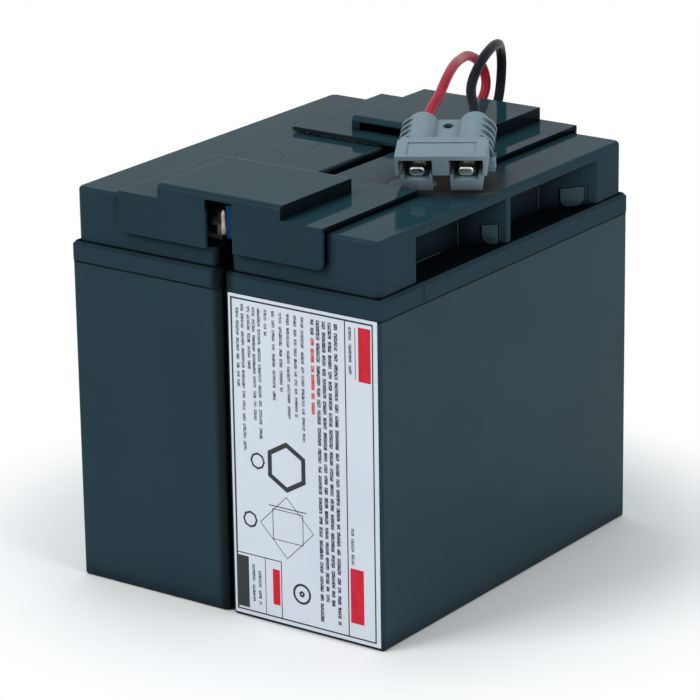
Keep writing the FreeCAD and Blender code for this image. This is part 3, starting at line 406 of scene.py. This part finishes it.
finishes["lid_plastic"] = mouldedFinish("lidPlastic", {
    **dark, "colour": (0.018, 0.037, 0.049), "roughness": (0.035, 0.09),
    "hollow": 0.018, "hollowRange": (0.45, 0.97), "hollowRough": 0.45,
    "grainScale": 2600, "grainDepth": 0.000001, "wearAndHighlight": 0.2,
    # painted shade along the ledge over the flange, the mould's parting line on each flange, a gate
    # mark on each top
    "marks": [((0, 0, 0.1446), (0.1, 0.1, 0.00030)),
              ((0.0761, -0.061, 0.1404), (0.0003, 0.00018, 0.0040)),
              ((-0.0761, 0.061, 0.1404), (0.0003, 0.00018, 0.0040)),
              ((-0.0402, -0.0207, 0.167), (0.0006, 0.0006, 0.0004)),
              ((0.0402, 0.0207, 0.167), (0.0006, 0.0006, 0.0004))],
    "jointShade": (0.0028, 0.0070, 0.1535),
})
finishes["vent_plastic"] = mouldedFinish("ventPlastic", {
    **dark, "colour": (0.018, 0.038, 0.050), "roughness": (0.04, 0.10), "hollow": 0.002,
    "grainScale": 2600, "grainDepth": 0.000001, "wearAndHighlight": 0.4, "edgeRadius": 0.0002,
})
finishes["cover_plastic"] = mouldedFinish("coverPlastic", {
    **dark, "colour": (0.016, 0.034, 0.044), "roughness": (0.035, 0.09), "hollow": 0.006,
    "grainScale": 3000, "grainDepth": 0.000001, "waveDepth": 0.00008, "waveScale": 30,
    "wearAndHighlight": 0.15, "edgeRadius": 0.0005, "shadeAbove": 0.1675,
})
finishes["valve_rubber"] = mouldedFinish("valveRubber", {
    "colour": (0.012, 0.012, 0.013), "lighter": (0.02, 0.02, 0.02), "edge": (0.05, 0.05, 0.05),
    "specular": 0.2, "roughness": (0.6, 0.8), "grainDepth": 0.00003,
})
finishes["battery_plates"] = mouldedFinish("batteryPlates", {
    "colour": (0.16, 0.15, 0.14), "lighter": (0.26, 0.25, 0.24), "edge": (0.35, 0.35, 0.35),
    "specular": 0.2, "roughness": (0.7, 0.9), "grainDepth": 0.00012, "grainScale": 900,
})
finishes["cast_lead"] = metalFinish("castLead", {
    "colour": (0.33, 0.34, 0.36), "tarnish": (0.18, 0.18, 0.19), "edge": (0.45, 0.46, 0.48),
    "streaks": (400, 400, 400), "roughness": (0.4, 0.65), "streakDepth": 0.00008,
})
finishes["terminal_metal"] = metalFinish("terminalMetal", {
    "colour": (0.78, 0.76, 0.71), "tarnish": (0.55, 0.50, 0.42), "edge": (0.92, 0.91, 0.88),
    "streaks": (200, 900, 5000), "roughness": (0.22, 0.42),
})
finishes["link_metal"] = metalFinish("linkMetal", {
    "colour": (0.95, 0.88, 0.88), "tarnish": (0.84, 0.70, 0.68), "edge": (0.97, 0.93, 0.93),
    "streaks": (300, 4500, 300), "roughness": (0.18, 0.34),
})
finishes["fastener_steel"] = metalFinish("fastenerSteel", {
    "colour": (0.62, 0.64, 0.66), "tarnish": (0.46, 0.47, 0.46), "edge": (0.86, 0.87, 0.88),
    "streaks": (4200, 500, 500), "roughness": (0.2, 0.38),
})
finishes["contact_metal"] = metalFinish("contactMetal", {
    "colour": (0.90, 0.90, 0.88), "tarnish": (0.74, 0.73, 0.70), "edge": (0.96, 0.96, 0.95),
    "streaks": (900, 300, 900), "roughness": (0.22, 0.40),
})
finishes["fuse_plastic"] = mouldedFinish("fusePlastic", {
    "colour": (0.026, 0.140, 0.38), "lighter": (0.034, 0.170, 0.44), "edge": (0.12, 0.29, 0.55),
    "specular": 0.45, "roughness": (0.2, 0.32), "grainDepth": 0.00001, "edgeRadius": 0.0003,
})
finishes["foam_tape"] = mouldedFinish("foamTape", {
    "colour": (0.018, 0.018, 0.018), "lighter": (0.17, 0.135, 0.085), "edge": (0.10, 0.09, 0.07),
    "specular": 0.1, "roughness": (0.8, 0.95), "grainScale": 1500, "grainDepth": 0.0002,
    "cloudScale": 400,
})
finishes["label_film"] = mouldedFinish("labelFilm", {
    "colour": (0.58, 0.635, 0.71), "lighter": (0.61, 0.665, 0.74), "edge": (0.70, 0.75, 0.82),
    "specular": 0.35, "roughness": (0.30, 0.42), "grainScale": 1400, "grainDepth": 0.000012,
    "waveDepth": 0.00005, "wearAndHighlight": 0.3, "edgeRadius": 0.0001,
})
finishes["connector_plastic"] = mouldedFinish("connectorPlastic", {
    "colour": (0.141, 0.201, 0.236), "lighter": (0.160, 0.224, 0.260), "edge": (0.34, 0.42, 0.46),
    "deep": (0.050, 0.072, 0.085), "hollow": 0.005, "specular": 0.24, "roughness": (0.36, 0.52),
    "grainScale": 1800, "grainDepth": 0.00002,
})
insulation = {"roughness": (0.28, 0.42), "grainScale": 900, "grainDepth": 0.00002, "wearAndHighlight": 0.1}
finishes["red_insulation"] = mouldedFinish("redInsulation", {
    **insulation, "colour": (0.30, 0.006, 0.022), "lighter": (0.36, 0.010, 0.030),
    "edge": (0.42, 0.05, 0.08), "specular": 0.12,
})
finishes["black_insulation"] = mouldedFinish("blackInsulation", {
    **insulation, "colour": (0.005, 0.007, 0.010), "lighter": (0.009, 0.012, 0.016),
    "edge": (0.03, 0.04, 0.05), "specular": 0.02,
})
# the moulded pads and beads inside the finger grips: a lighter copy of the lid plastic as painted
# light, with painted highlights along the bead edges
finishes["gripTrim"] = mouldedFinish("gripTrim", {
    "colour": (0.022, 0.042, 0.055), "lighter": (0.027, 0.050, 0.063), "edge": (0.11, 0.14, 0.16),
    "specular": 0.10, "roughness": (0.10, 0.20), "grainDepth": 0.000002, "edgeRadius": 0.0003,
    "wearAndHighlight": 0.9,
})

# print on the label: solid ink, and ink mottled like small type seen from far
finishes["darkInk"] = inkFinish("darkInk", {
    "ink": (0.012, 0.013, 0.016), "ground": (0.04, 0.045, 0.05), "share": (0.10, 0.45),
    "scale": 900})
finishes["typeInk"] = inkFinish("typeInk", {
    "ink": (0.012, 0.014, 0.018), "ground": (0.46, 0.51, 0.58), "share": (0.49, 0.60),
    "scale": 2100})
finishes["paleTypeInk"] = inkFinish("paleTypeInk", {
    "ink": (0.035, 0.040, 0.048), "ground": (0.52, 0.575, 0.65), "share": (0.47, 0.58),
    "scale": 2100})
finishes["redInk"] = inkFinish("redInk", {
    "ink": (0.52, 0.010, 0.026), "ground": (0.60, 0.022, 0.045), "share": (0.30, 0.70),
    "scale": 300})
finishes["redTypeInk"] = inkFinish("redTypeInk", {
    "ink": (0.60, 0.03, 0.03), "ground": (0.58, 0.40, 0.44), "share": (0.50, 0.62), "scale": 2100})

slotOf = {part["node"]: part["material_slot"] for part in frame["record"]["subparts"]}
for name, node in nodes.items():
    node.data.materials.clear()
    node.data.materials.append(finishes[slotOf[name]])
    for polygon in node.data.polygons:
        polygon.material_index = 0
print("finishes given to the nodes")


def joined(pieces, name):
    pickOnly(pieces[0])
    for piece in pieces:
        piece.select_set(True)
    if len(pieces) > 1:
        bpy.ops.object.join()
    pieces[0].name = pieces[0].data.name = name
    return pieces[0]


def giveFinish(piece, finish):
    piece.data.materials.clear()
    piece.data.materials.append(finishes[finish])


# The label's print, in millimetres across and up its face. Lines of small type are rows of
# word-long bars, and every mark is a plain field or outline.
labelPrint = {
    "seed": 7,
    "depth": 0.03,
    "corner": 0.22,
    "cornerSegments": 2,
    "word": (2.2, 8.4),
    "gap": (0.9, 1.3),
    "leastWord": 1,
    # each line: its middle, top and bottom
    "paleType": {"width": 1.35, "lines": [
        (7.3, 130.5, 97.9), (9.8, 132.4, 71.7), (12.8, 132.0, 106.0), (15.2, 132.0, 85.2),
        (17.8, 132.0, 77.7), (21.0, 132.0, 121.2), (24.8, 132.0, 94.0), (28.3, 132.0, 99.3),
        (31.9, 132.0, 88.8), (35.4, 132.0, 90.2), (38.8, 132.0, 80.6), (61.5, 132.0, 111.0),
        (61.5, 49.4, 33.6), (12.6, 23.7, 6.8), (15.6, 21.5, 6.8)]},
    "darkType": {"width": 1.6, "lines": [
        (43.6, 132.0, 125.5), (46.3, 132.0, 6.2), (49.1, 132.0, 13.5), (51.9, 132.0, 13.4),
        (54.8, 132.0, 7.0)]},
    "redType": {"width": 1.6, "lines": [(43.6, 124.4, 93.0)]},
    # left, right, bottom, top
    "darkFields": [
        (4.1, 4.9, 3.0, 134.7), (71.8, 72.4, 3.0, 134.7), (4.1, 72.4, 134.0, 134.7),
        (4.1, 72.4, 3.0, 3.6), (58.9, 59.4, 3.0, 134.7), (63.8, 64.1, 111.0, 132.0),
        (4.9, 10.2, 4.4, 26.4), (4.9, 26.6, 27.4, 27.8), (26.2, 26.6, 3.3, 27.8),
        (18.3, 18.6, 3.3, 27.8), (22.6, 37.6, 36.6, 36.9), (22.6, 37.6, 49.4, 49.7),
        (20.9, 39.2, 50.6, 51.0), (22.6, 22.9, 36.6, 49.7), (37.3, 37.6, 36.6, 49.7)],
    "redFields": [(65.4, 71.2, 110.5, 132.5), (60.2, 66.6, 9.4, 32.4), (22.1, 25.6, 8.6, 23.8)],
    # middle, outer and inner radius, corners
    "rings": [
        ((30.0, 68.2), 10.6, 8.3, 6), ((36.4, 16.0), 4.4, 3.4, 40), ((36.4, 16.0), 1.5, 0.4, 5),
        ((15.8, 68.2), 3.6, 2.7, 8), ((11.5, 42.7), 3.6, 2.7, 8), ((29.6, 42.6), 13.2, 12.8, 4)],
}
facesFront = (math.pi / 2, 0, 0)


def bar(place, left, right, low, high):
    # one flat bar that faces the front
    stroke = firstBar.copy()
    stroke.data = firstBar.data.copy()
    for vertex in stroke.data.vertices:
        across = left + (vertex.co.x + 0.5) * (right - left)
        up = low + (vertex.co.z + 0.5) * (high - low)
        vertex.co = (across * mm, place, up * mm)
    return intoScene(stroke)


def ring(place, middle, outer, inner, corners):
    # a flat outline with so many corners
    deselectAll()
    bpy.ops.mesh.primitive_circle_add(vertices=corners, radius=outer * mm, fill_type="NGON",
                                      location=(middle[0] * mm, place, middle[1] * mm),
                                      rotation=facesFront)
    piece = bpy.context.object
    bpy.ops.object.transform_apply(location=True, rotation=True, scale=True)
    bpy.ops.object.mode_set(mode="EDIT")
    bpy.ops.mesh.select_all(action="SELECT")
    bpy.ops.mesh.inset(thickness=(outer - inner) * mm * math.cos(math.pi / corners))
    bpy.ops.mesh.delete(type="FACE")
    bpy.ops.object.mode_set(mode="OBJECT")
    return piece


def typeBars(place, group):
    # words of random length down each line
    bars = []
    half = group["width"] / 2
    for middle, top, bottom in group["lines"]:
        reached = top
        while reached > bottom + labelPrint["leastWord"]:
            length = min(random.uniform(*labelPrint["word"]), reached - bottom)
            bars.append(bar(place, middle - half, middle + half, reached - length, reached))
            reached -= length + random.uniform(*labelPrint["gap"])
    return bars


def printed(bars, name, finish, softCorners=True):
    # bars and outlines become one piece, as thick as ink
    piece = joined(bars, name)
    if softCorners:
        bpy.ops.object.mode_set(mode="EDIT")
        bpy.ops.mesh.select_all(action="SELECT")
        bpy.ops.mesh.bevel(offset=labelPrint["corner"] * mm, affect="VERTICES",
                           segments=labelPrint["cornerSegments"])
        bpy.ops.object.mode_set(mode="OBJECT")
    solid = piece.modifiers.new("ink", "SOLIDIFY")
    solid.thickness = labelPrint["depth"] * mm
    solid.offset = 1
    pickOnly(piece)
    bpy.ops.object.modifier_apply(modifier=solid.name)
    giveFinish(piece, finish)
    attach(piece, "root")


random.seed(labelPrint["seed"])
deselectAll()
bpy.ops.mesh.primitive_plane_add(size=1, rotation=facesFront)
bpy.ops.object.transform_apply(location=True, rotation=True, scale=True)
firstBar = bpy.context.object
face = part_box("front_label")[0][1]
printed(typeBars(face, labelPrint["paleType"]), "labelPaleType", "paleTypeInk")
printed(typeBars(face, labelPrint["darkType"]), "labelDarkType", "typeInk")
printed(typeBars(face, labelPrint["redType"]), "labelRedType", "redTypeInk")
rings = [ring(face, *values) for values in labelPrint["rings"]]
fields = joined([bar(face, *field) for field in labelPrint["darkFields"]], "labelDarkFields")
printed([fields] + rings, "labelDarkFields", "darkInk", softCorners=False)
printed([bar(face, *field) for field in labelPrint["redFields"]], "labelRedFields", "redInk")
bpy.data.objects.remove(firstBar)
print("label printed")

# Pads, beads and ledges in the right lid's finger grips, in millimetres: along a wall, and up.
# Each wall starts at the back wall's end and turns outwards.
gripTrim = {
    "backWall": 58.6,
    "sunk": 0.3,
    "smoothUnder": 35,  # degrees
    "softSegments": 2,
    "pad": {"rise": 0.7, "soft": 0.25, "footSegments": 7},
    "bead": {"rise": 0.3, "soft": 0.12, "width": 0.45},
    "ledge": {"rise": 0.35, "soft": 0.12, "foot": 144.3, "top": 144.75,
              "runs": [(-52.0, -24.0), (3.4, 22.0)]},
    # pad: left, right, foot, top. beads: place, foot, top.
    "walls": [
        {"start": -11.4, "angle": 37.05, "pad": (9.4, 16.0, 144.6, 152.5),
         "corners": {"left": 4.0}, "beads": [(0.0, 144.5, 154.0), (16.8, 145.8, 153.2)]},
        {"start": 48.0, "angle": 52.9, "pad": (9.4, 19.8, 144.7, 152.4),
         "corners": {"left": 3.6, "right": 3.2},
         "beads": [(0.0, 144.5, 154.0), (22.5, 145.8, 153.4)]},
    ],
}


def gripBlock(start, angle, left, right, low, high, rise):
    # a block on an upright wall, ready for its bevels
    deselectAll()
    bpy.ops.mesh.primitive_cube_add(size=1)
    block = bpy.context.object
    thick = rise + gripTrim["sunk"]
    for vertex in block.data.vertices:
        vertex.co.x = (left + (vertex.co.x + 0.5) * (right - left)) * mm
        vertex.co.y = (gripTrim["sunk"] - (0.5 - vertex.co.y) * thick) * mm
        vertex.co.z = (low + (vertex.co.z + 0.5) * (high - low)) * mm
    block.location = (gripTrim["backWall"] * mm, start * mm, 0)
    block.rotation_euler = (0, 0, math.radians(angle))
    return block


def roundFoot(block, side, radius, low):
    # rounds one lower corner of a pad
    near = 0.01 * mm
    middle = sum(v.co.x for v in block.data.vertices) / len(block.data.vertices)
    bpy.ops.object.mode_set(mode="EDIT")
    bpy.ops.mesh.select_mode(type="EDGE")
    bpy.ops.mesh.select_all(action="DESELECT")
    bpy.ops.object.mode_set(mode="OBJECT")
    for edge in block.data.edges:
        ends = [block.data.vertices[i].co for i in edge.vertices]
        across = abs(ends[0].x - ends[1].x) < near and abs(ends[0].z - ends[1].z) < near
        onSide = (ends[0].x < middle) == (side == "left")
        edge.select = across and onSide and abs(ends[0].z - low * mm) < near
    bpy.ops.object.mode_set(mode="EDIT")
    bpy.ops.mesh.bevel(offset=radius * mm, affect="EDGES", segments=gripTrim["pad"]["footSegments"])
    bpy.ops.object.mode_set(mode="OBJECT")


def softened(block, width):
    # small bevels all round, then its place goes into the mesh
    bevel = block.modifiers.new("edges", "BEVEL")
    bevel.width = width * mm
    bevel.segments = gripTrim["softSegments"]
    bevel.limit_method = "ANGLE"
    pickOnly(block)
    bpy.ops.object.modifier_apply(modifier=bevel.name)
    bpy.ops.object.transform_apply(location=True, rotation=True, scale=True)
    bpy.ops.object.shade_smooth_by_angle(angle=math.radians(gripTrim["smoothUnder"]))
    return block


def wallTrim(wall):
    pad, bead = gripTrim["pad"], gripTrim["bead"]
    block = gripBlock(wall["start"], wall["angle"], *wall["pad"], pad["rise"])
    for side, radius in wall["corners"].items():
        roundFoot(block, side, radius, wall["pad"][2])
    blocks = [softened(block, pad["soft"])]
    half = bead["width"] / 2
    for along, foot, top in wall["beads"]:
        block = gripBlock(wall["start"], wall["angle"], along - half, along + half, foot, top,
                          bead["rise"])
        blocks.append(softened(block, bead["soft"]))
    return blocks


def makeGripTrim():
    blocks = []
    for wall in gripTrim["walls"]:
        blocks += wallTrim(wall)
    ledge = gripTrim["ledge"]
    for near, far in ledge["runs"]:
        block = gripBlock(near, 90, 0, far - near, ledge["foot"], ledge["top"], ledge["rise"])
        blocks.append(softened(block, ledge["soft"]))
    right = joined(blocks, "rightGripTrim")
    # the left lid is the same lid turned half round
    left = intoScene(right.copy())
    left.data = right.data.copy()
    left.name = left.data.name = "leftGripTrim"
    pickOnly(left)
    left.rotation_euler = (0, 0, math.pi)
    bpy.ops.object.transform_apply(location=True, rotation=True, scale=True)
    for piece in (right, left):
        giveFinish(piece, "gripTrim")
        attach(piece, "root")


makeGripTrim()
print("finger grips trimmed")

# the two leads, in metres, from the lugs behind the rear cover to the connector
leads = {
    "diameter": 0.0042,
    "steps": 24,
    "roundness": 8,
    "red": {
        "node": "red_lead", "lug": "red_lug", "length": 0.1456,
        "route": [(-0.0050, 0.0845, 0.1633), (-0.0050, 0.0996, 0.1676), (-0.0044, 0.1060, 0.1758),
                  (-0.0067, 0.1055, 0.1855), (-0.0083, 0.0972, 0.1912), (-0.0014, 0.0802, 0.1934),
                  (0.0082, 0.0618, 0.1964), (0.0156, 0.0455, 0.1959), (0.0210, 0.0311, 0.1907),
                  (0.0246, 0.0181, 0.1876), (0.0308, 0.0066, 0.1841)],
    },
    "black": {
        "node": "black_lead", "lug": "black_lug", "length": 0.1478,
        "route": [(0.0050, 0.0845, 0.1633), (0.0050, 0.0977, 0.1671), (0.0026, 0.1052, 0.1750),
                  (0.0028, 0.1064, 0.1876), (0.0062, 0.0994, 0.1968), (0.0127, 0.0874, 0.2006),
                  (0.0195, 0.0724, 0.2028), (0.0246, 0.0566, 0.2008), (0.0300, 0.0398, 0.1935),
                  (0.0419, 0.0273, 0.1882), (0.0481, 0.0158, 0.1847)],
    },
}


def makeLead(colour):
    lead = leads[colour]
    data = bpy.data.curves.new(colour + "LeadLine", "CURVE")
    data.dimensions = "3D"
    data.resolution_u = leads["steps"]
    data.bevel_depth = leads["diameter"] / 2
    data.bevel_resolution = leads["roundness"]
    spline = data.splines.new("NURBS")
    spline.points.add(len(lead["route"]) - 1)
    for point, place in zip(spline.points, lead["route"]):
        point.co = (*place, 1.0)
    spline.order_u = 3
    spline.use_endpoint_u = True
    piece = intoScene(bpy.data.objects.new(colour + "LeadCable", data))
    giveFinish(piece, colour + "_insulation")
    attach(piece, "root")
    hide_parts(lead["node"])


makeLead("red")
makeLead("black")
print("leads laid")
